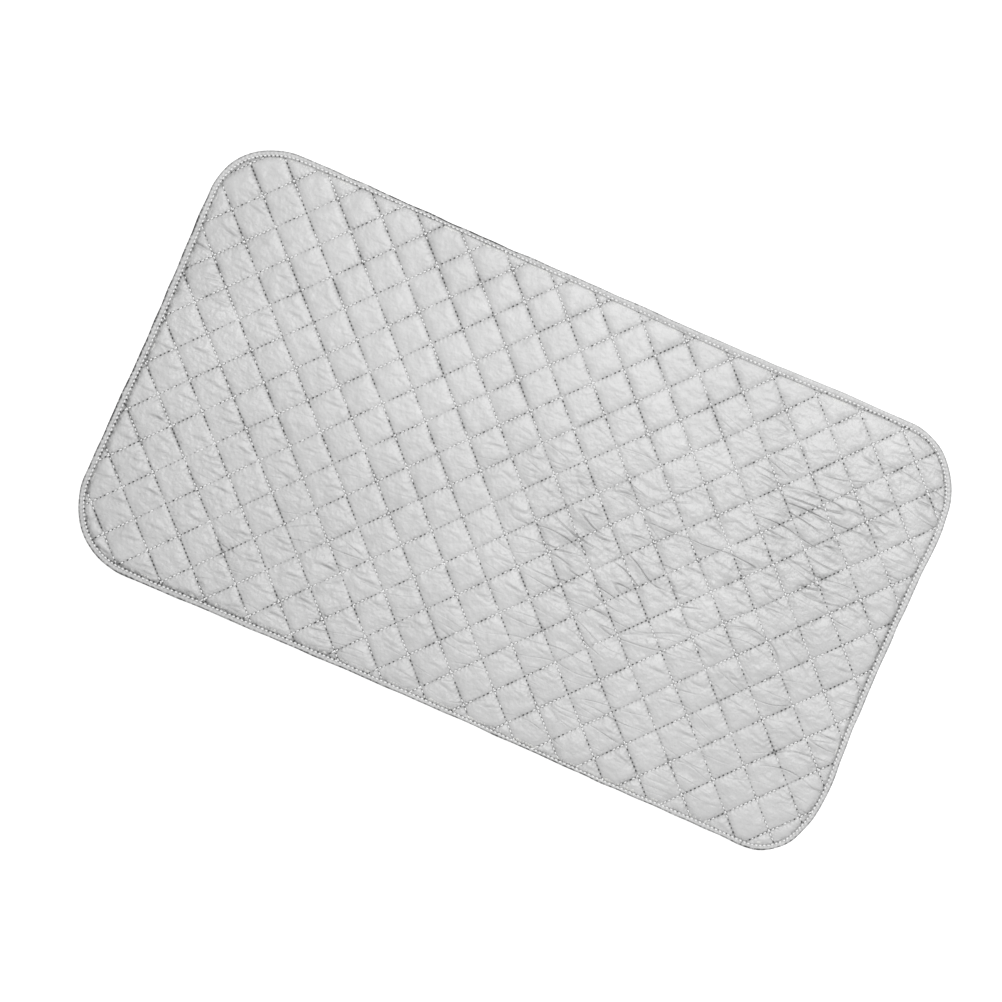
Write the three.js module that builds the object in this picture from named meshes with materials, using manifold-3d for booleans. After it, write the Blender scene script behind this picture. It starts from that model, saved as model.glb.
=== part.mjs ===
// A quilted ironing pad that lies on a table: a silvered cotton face, wadding and a plain
// backing, quilted together in diamonds, with a folded strip of the face cloth bound round
// the edge. It folds in half along its length to be put away.
// Millimetres, +Z up, X along the length. The backing lies at z = 0.

import * as THREE from "three";
import { mergeVertices } from "three/addons/utils/BufferGeometryUtils.js";
import Module from "manifold-3d";

// The cut outline
const padLength = 850;
const padWidth = 480;
const frontRightRadius = 61;
const rearRightRadius = 73;
const rearLeftRadius = 72;
const frontLeftRadius = 76;
const longEdgeDrawIn = 2.5;
const endDrawIn = 1.6;
const cornerSteps = 8;
const longEdgeSteps = 8;
const endSteps = 4;

// The layers
const backingThickness = 0.5;
const edgeWadding = 0.6;
const crownRise = 2.4;
const faceThickness = 0.5;
const layerClearance = 0.3;

// The quilting: two families of parallel seams that cross in diamonds. Each has a seam
// that misses the pad's centre by its phase share of a spacing.
const fallingSeamSpacing = 35.6;
const fallingSeamAngle = THREE.MathUtils.degToRad(44.9);
const fallingPhaseShare = 0.352;
const risingSeamSpacing = 35.9;
const risingSeamAngle = THREE.MathUtils.degToRad(48.2);
const risingPhaseShare = 0.15;

// The binding, a strip folded over the raw edges of the layers
const bindingWidth = 6.8;
const bindingThickness = 0.5;
const bindingFoldRadius = 1.6;
const bindingFoldSteps = 2;
const backingRamp = 3;

// The gap that the two halves keep at the fold
const foldGap = 0.3;

// How far a cutting shape runs past what it cuts
const overrun = 5;

// Heights, from the table up. The seams lie level, and the backing rises under them at the
// edge, where the wadding is thinnest.
const edgeLift = bindingThickness + layerClearance;
const waddingFloor = backingThickness + layerClearance;
const edgeWaddingFloor = edgeLift + waddingFloor;
const faceDepth = faceThickness + layerClearance;
const seamTop = edgeWaddingFloor + edgeWadding + faceDepth;
const crownTop = seamTop + crownRise;

// A crown is lower near the edge, by the square of its distance share. Where such a crown
// slopes under the binding, this share of the full rise is the most that it reaches.
const heldRiseShare = 4 / 27;
const bindingTop = seamTop + crownRise * heldRiseShare + edgeLift;
const foldRadius = Math.min(bindingFoldRadius, bindingTop / 2);

// Places in from the cut edge
const layerInset = foldRadius;
const shoulderInset = bindingWidth + layerClearance;
const rampInset = shoulderInset + backingRamp;

const wasm = await Module();
wasm.setup();

// The corners, anticlockwise from the front right, each with the edge that follows it
const corners = [
  { x: 1, y: -1, radius: frontRightRadius, steps: endSteps, drawIn: endDrawIn },
  { x: 1, y: 1, radius: rearRightRadius, steps: longEdgeSteps, drawIn: longEdgeDrawIn },
  { x: -1, y: 1, radius: rearLeftRadius, steps: endSteps, drawIn: endDrawIn },
  { x: -1, y: -1, radius: frontLeftRadius, steps: longEdgeSteps, drawIn: longEdgeDrawIn },
];

// One round corner, set in from the cut edge
function cornerArc({ x, y, radius }, turn, inset) {
  const centre = new THREE.Vector2(x * (padLength / 2 - radius), y * (padWidth / 2 - radius));
  const points = [];
  for (let step = 0; step <= cornerSteps; step++) {
    const angle = (turn - 1 + step / cornerSteps) * (Math.PI / 2);
    const spoke = new THREE.Vector2(Math.cos(angle), Math.sin(angle));
    points.push(spoke.multiplyScalar(radius - inset).add(centre));
  }
  return points;
}

// The whole outline, set in from the cut edge. The quilting draws each edge in a little
// towards its middle.
function outline(inset) {
  const arcs = corners.map((corner, turn) => cornerArc(corner, turn, inset));
  return arcs.flatMap((arc, turn) => {
    const { steps, drawIn } = corners[turn];
    const from = arc[cornerSteps];
    const along = arcs[(turn + 1) % arcs.length][0].clone().sub(from);
    const inward = new THREE.Vector2(-along.y, along.x).normalize();
    const edge = [];
    for (let step = 1; step < steps; step++) {
      const share = step / steps;
      const bow = (drawIn * (1 - Math.cos(share * 2 * Math.PI))) / 2;
      edge.push(from.clone().addScaledVector(along, share).addScaledVector(inward, bow));
    }
    return [...arc, ...edge];
  });
}

// How far a point lies from the cut edge
function edgeDistance(x, y) {
  const rim = outline(0).map((p) => new THREE.Vector3(p.x, p.y, 0));
  const point = new THREE.Vector3(x, y, 0);
  const nearest = new THREE.Vector3();
  const distances = rim.map((from, i) => {
    const side = new THREE.Line3(from, rim[(i + 1) % rim.length]);
    return side.closestPointToPoint(point, true, nearest).distanceTo(point);
  });
  return Math.min(...distances);
}

function solidOf(geometry) {
  const bare = geometry.clone();
  bare.deleteAttribute("normal");
  bare.deleteAttribute("uv");
  const merged = mergeVertices(bare);
  return new wasm.Manifold(
    new wasm.Mesh({
      numProp: 3,
      vertProperties: merged.attributes.position.array,
      triVerts: new Uint32Array(merged.index.array),
    }),
  );
}

function solidFrom(points, faces) {
  const geometry = new THREE.BufferGeometry();
  geometry.setAttribute("position", new THREE.Float32BufferAttribute(points.flat(), 3));
  geometry.setIndex(faces.flat());
  return solidOf(geometry);
}

// A loft of outlines, each at its own inset and height, listed from outside going up and
// in. A ring closes on its first outline, and a plate is capped at its first and last.
function loft(profile, ring) {
  const loops = profile.map(({ inset, z }) => outline(inset).map(({ x, y }) => [x, y, z]));
  const size = loops[0].length;
  const faces = [];
  const joins = ring ? loops.length : loops.length - 1;
  for (let join = 0; join < joins; join++) {
    const low = join * size;
    const high = ((join + 1) % loops.length) * size;
    for (let i = 0; i < size; i++) {
      const next = (i + 1) % size;
      faces.push([low + i, low + next, high + next], [low + i, high + next, high + i]);
    }
  }
  if (!ring) {
    const last = joins * size;
    const flat = outline(profile[0].inset);
    THREE.ShapeUtils.triangulateShape(flat, []).forEach(([a, b, c]) => {
      faces.push([c, b, a], [last + a, last + b, last + c]);
    });
  }
  return solidFrom(loops.flat(), faces);
}

// A sheet made into a solid. Its upper and lower surfaces follow the sheet at the heights
// that top and bottom give, and walls join them along the sheet's free edges.
function thicken({ points, faces }, top, bottom) {
  const size = points.length;
  const upper = points.map(([x, y, z]) => [x, y, top(z)]);
  const lower = points.map(([x, y, z]) => [x, y, bottom(z)]);
  const shell = faces.flatMap(([a, b, c]) => [
    [a, b, c],
    [size + c, size + b, size + a],
  ]);
  const edges = new Set();
  faces.forEach((face) => {
    face.forEach((from, i) => edges.add(`${from} ${face[(i + 1) % face.length]}`));
  });
  edges.forEach((edge) => {
    const [from, to] = edge.split(" ").map(Number);
    if (!edges.has(`${to} ${from}`)) {
      shell.push([to, from, size + from], [to, size + from, size + to]);
    }
  });
  return solidFrom([...upper, ...lower], shell);
}

// Where a falling seam crosses a rising seam, each counted from the pad's centre
function crossing(falling, rising) {
  const fallingAt = (falling + fallingPhaseShare) * fallingSeamSpacing;
  const risingAt = (rising + risingPhaseShare) * risingSeamSpacing;
  const cross = Math.sin(fallingSeamAngle + risingSeamAngle);
  return [
    (fallingAt * Math.cos(risingSeamAngle) - risingAt * Math.cos(fallingSeamAngle)) / cross,
    (fallingAt * Math.sin(risingSeamAngle) + risingAt * Math.sin(fallingSeamAngle)) / cross,
  ];
}

// How high the middle of a diamond stands
function crownHeight(x, y) {
  const halfDiamond = Math.hypot(fallingSeamSpacing, risingSeamSpacing) / 2;
  const nearness = (edgeDistance(x, y) - bindingWidth) / halfDiamond;
  return seamTop + crownRise * THREE.MathUtils.clamp(nearness, 0, 1) ** 2;
}

// The quilted surface before it is cut to the outline: diamonds that rise from their
// seams to a crown
function quiltedField() {
  const reach = Math.hypot(padLength, padWidth) / 2;
  const fallingCount = Math.ceil(reach / fallingSeamSpacing) + 1;
  const risingCount = Math.ceil(reach / risingSeamSpacing) + 1;
  const points = [];
  const faces = [];
  const numbers = new Map();
  const seamCrossing = (falling, rising) => {
    const key = `${falling} ${rising}`;
    if (!numbers.has(key)) {
      numbers.set(key, points.push([...crossing(falling, rising), seamTop]) - 1);
    }
    return numbers.get(key);
  };
  for (let falling = -fallingCount; falling < fallingCount; falling++) {
    for (let rising = -risingCount; rising < risingCount; rising++) {
      const [x, y] = crossing(falling + 1 / 2, rising + 1 / 2);
      const inside = Math.abs(x) < padLength / 2 && Math.abs(y) < padWidth / 2;
      const crown = points.push([x, y, inside ? crownHeight(x, y) : seamTop]) - 1;
      const around = [
        seamCrossing(falling, rising),
        seamCrossing(falling + 1, rising),
        seamCrossing(falling + 1, rising + 1),
        seamCrossing(falling, rising + 1),
      ];
      around.forEach((from, i) => faces.push([from, around[(i + 1) % around.length], crown]));
    }
  }
  return { points, faces };
}

// The face of the pad as a sheet: the quilted field cut to the outline
function padFace() {
  const field = thicken(quiltedField(), (z) => z, () => -overrun);
  const cut = [
    { inset: layerInset, z: 0 },
    { inset: layerInset, z: crownTop + overrun },
  ];
  const { vertProperties, triVerts } = field.intersect(loft(cut, false)).getMesh();
  const points = [];
  const faces = [];
  const numbers = new Map();
  const point = (i) => new THREE.Vector3().fromArray(vertProperties, i * 3);
  const number = (i) => {
    if (!numbers.has(i)) numbers.set(i, points.push(point(i).toArray()) - 1);
    return numbers.get(i);
  };
  for (let i = 0; i < triVerts.length; i += 3) {
    const face = Array.from(triVerts.slice(i, i + 3));
    const [a, b, c] = face.map(point);
    if (new THREE.Triangle(a, b, c).getNormal(new THREE.Vector3()).z > 1 / 2) {
      faces.push(face.map(number));
    }
  }
  return { points, faces };
}
const face = padFace();

// The silvered face cloth follows every crown and seam
const faceCloth = thicken(face, (z) => z, (z) => z - faceThickness);

// The backing lies flat, and rises at its edge onto the binding's lower leg
const backingProfile = [
  { inset: rampInset, z: 0 },
  { inset: shoulderInset, z: edgeLift },
  { inset: layerInset, z: edgeLift },
  { inset: layerInset, z: edgeLift + backingThickness },
  { inset: shoulderInset, z: edgeLift + backingThickness },
  { inset: rampInset, z: backingThickness },
];
const backing = loft(backingProfile, false);

// The wadding fills the space between, thin at the seams and thinnest at the edge
const raisedEdgeProfile = [
  { inset: -overrun, z: -overrun },
  { inset: -overrun, z: edgeWaddingFloor },
  { inset: shoulderInset, z: edgeWaddingFloor },
  { inset: rampInset, z: waddingFloor },
  { inset: rampInset, z: -overrun },
];
const waddingBlock = thicken(face, (z) => z - faceDepth, () => waddingFloor);
const wadding = waddingBlock.subtract(loft(raisedEdgeProfile, true));

// One quarter turn of the binding's round fold, about a centre at the given height
function bindingBend(radius, quarter, centre) {
  const points = [];
  for (let step = 0; step <= bindingFoldSteps; step++) {
    const angle = (quarter + step / bindingFoldSteps) * (Math.PI / 2);
    points.push({
      inset: foldRadius - radius * Math.sin(angle),
      z: centre - radius * Math.cos(angle),
    });
  }
  return points;
}

// The binding has a leg under the layers, a round fold over their raw edges and a leg on
// the face
const innerFoldRadius = foldRadius - bindingThickness;
const upperFold = bindingTop - foldRadius;
const bindingProfile = [
  { inset: bindingWidth, z: 0 },
  ...bindingBend(foldRadius, 0, foldRadius),
  ...bindingBend(foldRadius, 1, upperFold),
  { inset: bindingWidth, z: bindingTop },
  { inset: bindingWidth, z: bindingTop - bindingThickness },
  ...bindingBend(innerFoldRadius, 1, upperFold).reverse(),
  ...bindingBend(innerFoldRadius, 0, foldRadius).reverse(),
  { inset: bindingWidth, z: bindingThickness },
];
const binding = loft(bindingProfile, true);

const silveredCotton = { color: 0xc8c9ca, roughness: 0.5, metalness: 0.3, flatShading: true };
const whiteWadding = { color: 0xf1efe9, roughness: 1, metalness: 0 };
const plainCotton = { color: 0xd8d4c8, roughness: 0.95, metalness: 0 };

// The half of a layer behind the fold, or in front of it
function halfOf(solid, side) {
  const depth = padWidth / 2 + overrun;
  const box = new THREE.BoxGeometry(padLength + overrun, depth, crownTop + overrun);
  box.translate(0, (side * (depth + foldGap)) / 2, crownTop / 2);
  const { vertProperties, triVerts } = solid.intersect(solidOf(box)).getMesh();
  const geometry = new THREE.BufferGeometry();
  geometry.setAttribute("position", new THREE.BufferAttribute(vertProperties, 3));
  geometry.setIndex(new THREE.BufferAttribute(triVerts, 1));
  geometry.computeVertexNormals();
  return geometry;
}

// Each layer is one cloth. It is modelled as two halves that meet where it bends, at the
// fold along the pad's length.
function padHalf(place, side) {
  const half = new THREE.Group();
  const layers = [
    { name: "face_cloth", solid: faceCloth, finish: silveredCotton },
    { name: "wadding", solid: wadding, finish: whiteWadding },
    { name: "backing", solid: backing, finish: plainCotton },
    { name: "binding", solid: binding, finish: silveredCotton },
  ];
  layers.forEach(({ name, solid, finish }) => {
    const mesh = new THREE.Mesh(halfOf(solid, side), new THREE.MeshStandardMaterial(finish));
    mesh.name = `${name}_${place}`;
    half.add(mesh);
  });
  return half;
}

const pad = new THREE.Group();
pad.add(padHalf("rear", 1), padHalf("front", -1));

export default pad;
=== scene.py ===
import math

import bpy
import numpy as np
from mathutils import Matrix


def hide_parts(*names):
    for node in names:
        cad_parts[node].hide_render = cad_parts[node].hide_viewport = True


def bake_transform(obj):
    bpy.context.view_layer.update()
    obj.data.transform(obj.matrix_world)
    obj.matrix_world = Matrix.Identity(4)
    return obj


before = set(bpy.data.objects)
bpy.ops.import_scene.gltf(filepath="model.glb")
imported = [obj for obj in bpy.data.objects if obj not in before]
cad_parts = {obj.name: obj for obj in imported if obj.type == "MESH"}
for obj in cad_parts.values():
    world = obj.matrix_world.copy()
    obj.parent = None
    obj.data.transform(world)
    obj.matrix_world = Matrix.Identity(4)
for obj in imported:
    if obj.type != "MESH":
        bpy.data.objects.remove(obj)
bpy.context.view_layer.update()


# The backing
# A plain unbleached cotton cloth that lies on the table. It is cut with the other layers to one
# outline with round corners, and the quilting draws it up a little along every seam.
pad_length = 0.850
pad_width = 0.480
corner_radii = (0.061, 0.073, 0.072, 0.076)  # anticlockwise from the front right
end_draw_in = 0.0016
long_edge_draw_in = 0.0025
layer_inset = 0.0016

outline_sides = []
for number, radius in enumerate(corner_radii):
    turn = number * math.pi / 2
    is_end = number % 2 == 0
    half_side = (pad_width if is_end else pad_length) / 2
    outline_sides.append({
        "turn": turn,
        "radius": radius,
        "reach": (pad_length if is_end else pad_width) / 2,
        "start": radius - half_side,
        "end": half_side - corner_radii[(number + 1) % len(corner_radii)],
        "draw_in": end_draw_in if is_end else long_edge_draw_in,
    })


def drawn_in(side, along):
    """How far the quilting draws a straight side in, which is most at the side's middle."""
    share = np.clip((along - side["start"]) / (side["end"] - side["start"]), 0, 1)
    return side["draw_in"] * (1 - np.cos(2 * math.pi * share)) / 2


# The layers were trimmed by hand, so the edge strays from the outline round a few places: their
# x and y, their spread, and how far in it lies there.
edge_drifts = (
    (0.421, -0.198, 0.020, 0.0030),
    (0.425, -0.145, 0.024, -0.0022),
    (0.416, 0.203, 0.028, 0.0031),
    (0.425, 0.138, 0.022, -0.0016),
    (0.290, 0.240, 0.045, -0.0010),
    (-0.010, 0.238, 0.070, -0.0016),
    (-0.377, 0.237, 0.018, 0.0013),
    (-0.415, -0.202, 0.018, 0.0012),
    (-0.318, -0.240, 0.022, -0.0012),
    (0.290, -0.240, 0.035, 0.0010),
)


def drift(x, y, drifts):
    total = 0
    for at_x, at_y, spread, most in drifts:
        total = total + most * np.exp(-((x - at_x) ** 2 + (y - at_y) ** 2) / (2 * spread**2))
    return total


def edge_distance(x, y):
    """How far each place lies in from the cut edge."""
    distance = np.full(np.shape(x), pad_length)
    for side in outline_sides:
        across = x * math.cos(side["turn"]) + y * math.sin(side["turn"])
        along = y * math.cos(side["turn"]) - x * math.sin(side["turn"])
        distance = np.minimum(distance, side["reach"] - drawn_in(side, along) - across)
        beside = along - side["start"]
        beyond = across - side["reach"] + side["radius"]
        rounded = side["radius"] - np.hypot(beside, beyond)
        distance = np.where((beside < 0) & (beyond > 0), rounded, distance)
    return distance - drift(x, y, edge_drifts)


# The quilting is two families of parallel seams. The needle wandered too, so each family drifts
# sideways round a few places.
falling_spacing = 0.0356
falling_angle = math.radians(44.9)
falling_phase = 0.352
falling_drifts = (
    (0.090, -0.005, 0.165, -0.0074),
    (0.080, 0.005, 0.255, 0.0080),
    (-0.235, -0.250, 0.175, 0.0058),
    (-0.315, -0.300, 0.320, -0.0078),
)
rising_spacing = 0.0359
rising_angle = math.radians(48.2)
rising_phase = 0.15
rising_drifts = (
    (0.390, -0.235, 0.320, -0.0080),
    (0.240, -0.090, 0.215, 0.0055),
    (0.195, 0.150, 0.095, -0.0034),
    (-0.470, -0.300, 0.155, -0.0042),
)


def seam_counts(x, y):
    """Where places lie among the falling and the rising seams. A whole number is on a seam."""
    u = x * math.sin(falling_angle) + y * math.cos(falling_angle) - drift(x, y, falling_drifts)
    v = y * math.cos(rising_angle) - x * math.sin(rising_angle) - drift(x, y, rising_drifts)
    return u / falling_spacing - falling_phase, v / rising_spacing - rising_phase


def crossing(falling, rising):
    """The place at the given counts among the falling and the rising seams."""
    x = y = np.zeros(np.shape(falling))
    for _ in range(3):
        u = (falling + falling_phase) * falling_spacing + drift(x, y, falling_drifts)
        v = (rising + rising_phase) * rising_spacing + drift(x, y, rising_drifts)
        x = u * math.cos(rising_angle) - v * math.cos(falling_angle)
        y = u * math.sin(rising_angle) + v * math.sin(falling_angle)
        x = x / math.sin(falling_angle + rising_angle)
        y = y / math.sin(falling_angle + rising_angle)
    return x, y


def off_seams(x, y):
    """How far each place lies from the nearest falling and from the nearest rising seam."""
    falling, rising = seam_counts(x, y)
    off_falling = np.abs(falling - np.round(falling)) * falling_spacing
    return off_falling, np.abs(rising - np.round(rising)) * rising_spacing


def lattice_counts(steps):
    """The counts along one family of seams, with this many steps from seam to seam. The steps
    are shorter near the seams."""
    far = math.ceil(math.hypot(pad_length, pad_width) / 2 / falling_spacing) + 1
    even = np.arange(-far * steps, far * steps + 1) / steps
    return even - 0.3 * np.sin(2 * math.pi * even) / (2 * math.pi)


def whole_cells(x, y):
    """Which places of a grid lie in cells that are whole within the outline, and those cells."""
    inside = edge_distance(x, y) > layer_inset
    numbers = np.arange(x.size).reshape(x.shape)
    near, far = slice(0, -1), slice(1, None)
    corners = [(near, near), (far, near), (far, far), (near, far)]
    whole = np.all([inside[at] for at in corners], axis=0)
    cells = np.stack([numbers[at][whole] for at in corners], axis=1)
    used, cells = np.unique(cells, return_inverse=True)
    return used, cells.reshape(-1, 4)


def cut_layer(steps):
    """A layer cut to the outline: the x and y of its places, and the four-cornered cells between
    them. The outermost places lie on the edge."""
    counts = lattice_counts(steps)
    x, y = crossing(*np.meshgrid(counts, counts, indexing="ij"))
    used, cells = whole_cells(x, y)
    x, y = x.ravel()[used], y.ravel()[used]
    rim = np.bincount(cells.ravel()) < 4
    near = 0.0001
    way_x = edge_distance(x[rim] + near, y[rim]) - edge_distance(x[rim] - near, y[rim])
    way_y = edge_distance(x[rim], y[rim] + near) - edge_distance(x[rim], y[rim] - near)
    slack = (edge_distance(x[rim], y[rim]) - layer_inset) / np.hypot(way_x, way_y)
    x[rim] -= slack * way_x
    y[rim] -= slack * way_y
    return x, y, cells


def mesh_of(name, places, faces):
    """A smooth mesh of four-cornered faces as an object in the scene."""
    mesh = bpy.data.meshes.new(name)
    mesh.vertices.add(len(places))
    mesh.vertices.foreach_set("co", np.asarray(places, np.float32).ravel())
    mesh.loops.add(faces.size)
    mesh.loops.foreach_set("vertex_index", faces.astype(np.int32).ravel())
    mesh.polygons.add(len(faces))
    mesh.polygons.foreach_set("loop_start", np.arange(0, faces.size, 4, dtype=np.int32))
    mesh.update(calc_edges=True)
    mesh.shade_smooth()
    piece = bpy.data.objects.new(name, mesh)
    bpy.context.scene.collection.objects.link(piece)
    return piece


def lay_out(piece, corner_places):
    """Gives each corner of a piece's faces its place on the flat map that its finish is kept on."""
    flat_map = piece.data.uv_layers.new(name="OFBake")
    flat_map.uv.foreach_set("vector", np.asarray(corner_places, np.float32).ravel())


def layer_piece(name, cut, top, underside):
    """A layer between its top and its underside, closed along its edge. Its top and underside
    lie one above the other on the flat map, and its edge in a strip beside them."""
    x, y, cells = cut
    size = len(x)
    places = np.concatenate([np.stack([x, y, top], 1), np.stack([x, y, underside], 1)])
    sides = np.concatenate([cells[:, [i, (i + 1) % 4]] for i in range(4)])
    keys = sides[:, 0] * size + sides[:, 1]
    free = sides[~np.isin(keys, sides[:, 1] * size + sides[:, 0])]
    walls = np.stack([free[:, 1], free[:, 0], free[:, 0] + size, free[:, 1] + size], 1)
    piece = mesh_of(name, places, np.concatenate([cells, cells[:, ::-1] + size, walls]))
    flat_scale = 0.98 / (2 * pad_width)
    flat_x = (x + pad_length / 2) * flat_scale
    flat_y = (y + pad_width / 2) * flat_scale
    flat = np.stack([np.tile(flat_x, 2), np.concatenate([flat_y, flat_y + 0.5])], 1)
    rung = np.arange(len(walls)) / len(walls)
    strip = np.stack([np.full(len(walls), 0.93), rung, np.full(len(walls), 0.93), rung,
                      np.full(len(walls), 0.97), rung, np.full(len(walls), 0.97), rung], 1)
    surface_corners = np.concatenate([cells, cells[:, ::-1] + size]).ravel()
    lay_out(piece, np.concatenate([flat[surface_corners], strip.reshape(-1, 2)]))
    seams = piece.data.attributes.new("seams", "FLOAT_VECTOR", "POINT")
    falling, rising = seam_counts(x, y)
    values = np.stack([falling, rising, edge_distance(x, y)], 1)
    seams.data.foreach_set("vector", np.tile(values, (2, 1)).astype(np.float32).ravel())
    return piece


def bend_at_fold(piece):
    """Bakes the piece's placing into its mesh; the piece stays flat."""
    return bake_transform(piece)


def add_node(material, kind, inputs=None, **settings):
    """A shader node with its settings, and a value or a link for each input that is given."""
    made = material.node_tree.nodes.new("ShaderNode" + kind)
    for name, value in settings.items():
        setattr(made, name, value)
    for name, value in (inputs or {}).items():
        if isinstance(value, bpy.types.NodeSocket):
            material.node_tree.links.new(value, made.inputs[name])
        else:
            made.inputs[name].default_value = value
    return made


def reckon(material, operation, *values):
    """The result of one sum on sockets or numbers."""
    node = add_node(material, "Math", dict(enumerate(values)), operation=operation)
    return node.outputs[0]


def plain_weave(material, yarn_pitch):
    """The height of a plain weave, from -1 to 1, yarn over and under yarn."""
    places = add_node(material, "TexCoord").outputs["Object"]
    axes = add_node(material, "SeparateXYZ", {"Vector": places})
    waves = []
    for axis in "XY":
        angle = reckon(material, "MULTIPLY", axes.outputs[axis], math.pi / yarn_pitch)
        waves.append(reckon(material, "SINE", angle))
    return reckon(material, "MULTIPLY", *waves)


def mottle(material, size, detail=2.0):
    """An uneven value round 0.5 whose patches are about this size."""
    places = add_node(material, "TexCoord").outputs["Object"]
    noise = add_node(material, "TexNoise", {"Vector": places, "Scale": 1 / size, "Detail": detail})
    return noise.outputs["Fac"]


def new_material(name):
    material = bpy.data.materials.new(name)
    material.use_nodes = True
    return material, material.node_tree.nodes["Principled BSDF"]


def link(material, socket, target):
    material.node_tree.links.new(socket, target)


def between(material, share, low, high):
    """A colour between two, by share."""
    mix = add_node(material, "Mix", {"Factor": share}, data_type="RGBA")
    mix.inputs["A"].default_value = (*low, 1)
    mix.inputs["B"].default_value = (*high, 1)
    return mix.outputs["Result"]


backing_steps = 12
backing_thickness = 0.0004
backing_groove = 0.0006
backing_groove_reach = 0.0040
edge_lift = 0.0008
shoulder_inset = 0.0071
ramp_inset = 0.0101

cut = cut_layer(backing_steps)
off_falling, off_rising = off_seams(cut[0], cut[1])
on_seam = np.exp(-(np.minimum(off_falling, off_rising) / backing_groove_reach) ** 2)
ramp = (ramp_inset - edge_distance(cut[0], cut[1])) / (ramp_inset - shoulder_inset)
ramp = np.clip(ramp, 0, 1)
backing_underside = np.maximum(on_seam * backing_groove, ramp * edge_lift)
backing = layer_piece("backing", cut, backing_underside + backing_thickness, backing_underside)

plain_cotton, shader = new_material("plain_cotton")
slubs = mottle(plain_cotton, 0.004)
link(plain_cotton, between(plain_cotton, slubs, (0.66, 0.62, 0.53), (0.76, 0.73, 0.65)),
     shader.inputs["Base Color"])
weave = plain_weave(plain_cotton, 0.0006)
cloth_height = reckon(plain_cotton, "ADD", weave, slubs)
bump = add_node(plain_cotton, "Bump", {"Height": cloth_height, "Distance": 0.0001})
link(plain_cotton, bump.outputs["Normal"], shader.inputs["Normal"])
shader.inputs["Roughness"].default_value = 0.95
shader.inputs["Sheen Weight"].default_value = 0.15
backing.data.materials.append(plain_cotton)

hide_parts("backing_rear", "backing_front")
bend_at_fold(backing)


# The wadding
# One layer of white polyester fibre between the two cloths. It is loose and thick in the middle
# of each diamond, where it lifts the face cloth, and the seams and the binding press it thin.
wadding_steps = 8
wadding_gap = 0.0003
seam_top = 0.0030
edge_slope = 0.009
binding_width = 0.0068
face_thickness = 0.0003
groove_depth = 0.0006
groove_reach = 0.0012
binding_groove_depth = 0.0010
binding_groove_reach = 0.0032
growth = 0.010
rise_share = 0.52
most_rise = 0.0021


# The binding was folded by hand, so its upper side is wider at some places than at others.
binding_drifts = (
    (0.430, 0.060, 0.130, 0.0015),
    (0.200, 0.240, 0.110, 0.0016),
    (-0.190, 0.240, 0.085, -0.0018),
    (-0.430, 0.040, 0.120, 0.0025),
    (-0.300, -0.240, 0.120, 0.0012),
    (0.150, -0.240, 0.110, -0.0028),
)


def from_lip(x, y):
    """How far each place lies in from the binding's inner edge."""
    return edge_distance(x, y) - binding_width - drift(x, y, binding_drifts)


def plumpness(x, y):
    """How full the quilt may stand: 1 in the middle of a diamond, and 0 at its seams and edge."""
    off_falling, off_rising = off_seams(x, y)
    across_falling = 1 - (1 - off_falling / falling_spacing * 2) ** 2.6
    across_rising = 1 - (1 - off_rising / rising_spacing * 2) ** 2.6
    from_edge = np.clip(from_lip(x, y) / edge_slope, 0, 1)
    return across_falling * across_rising * (1 - (1 - from_edge) ** 2)


def lifted_cloth(counts):
    """A cloth simulation. The face cloth is held at its seams and under the binding. It is a
    little longer than the quilt is, and the wadding pushes it up between the seams. Gives how
    far it rises at each crossing of the counts."""
    x, y = crossing(*np.meshgrid(counts, counts, indexing="ij"))
    rise = 0.0015 * plumpness(x, y)
    used, cells = whole_cells(x, y)
    x, y = x.ravel()[used], y.ravel()[used]
    seamed = np.min(off_seams(x, y), axis=0) < 0.00001
    held = seamed | (from_lip(x, y) < 0.001)
    unrest = np.random.default_rng(5).normal(0, 0.00005, len(x))
    start = 0.0004 * plumpness(x, y) + np.where(held, 0, unrest)
    sheet = mesh_of("rising_cloth", np.stack([x, y, start], 1), cells)
    sheet.vertex_groups.new(name="held").add(np.flatnonzero(held).tolist(), 1, "REPLACE")
    cloth = sheet.modifiers.new("cloth", "CLOTH")
    cloth.settings.quality = 4
    cloth.settings.mass = 0.01
    cloth.settings.tension_stiffness = 5
    cloth.settings.compression_stiffness = 5
    cloth.settings.shear_stiffness = 1.7
    cloth.settings.bending_stiffness = 0.002
    cloth.settings.shrink_min = -growth
    cloth.settings.vertex_group_mass = "held"
    cloth.settings.use_pressure = True
    cloth.settings.uniform_pressure_force = 20
    cloth.settings.effector_weights.gravity = 0
    cloth.collision_settings.use_collision = False
    for frame_number in range(1, 9):
        bpy.context.scene.frame_set(frame_number)
    settled = sheet.evaluated_get(bpy.context.evaluated_depsgraph_get()).data
    places = np.empty(len(settled.vertices) * 3, np.float32)
    settled.vertices.foreach_get("co", places)
    bpy.context.scene.frame_set(1)
    flat_sheet = sheet.data
    bpy.data.objects.remove(sheet)
    bpy.data.meshes.remove(flat_sheet)
    rise = np.zeros_like(rise)
    rise.flat[used] = most_rise * np.tanh(places[2::3] * rise_share / most_rise)
    return rise


rise_steps = 9
rise_counts = lattice_counts(rise_steps)
cloth_rise = lifted_cloth(rise_counts)


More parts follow.
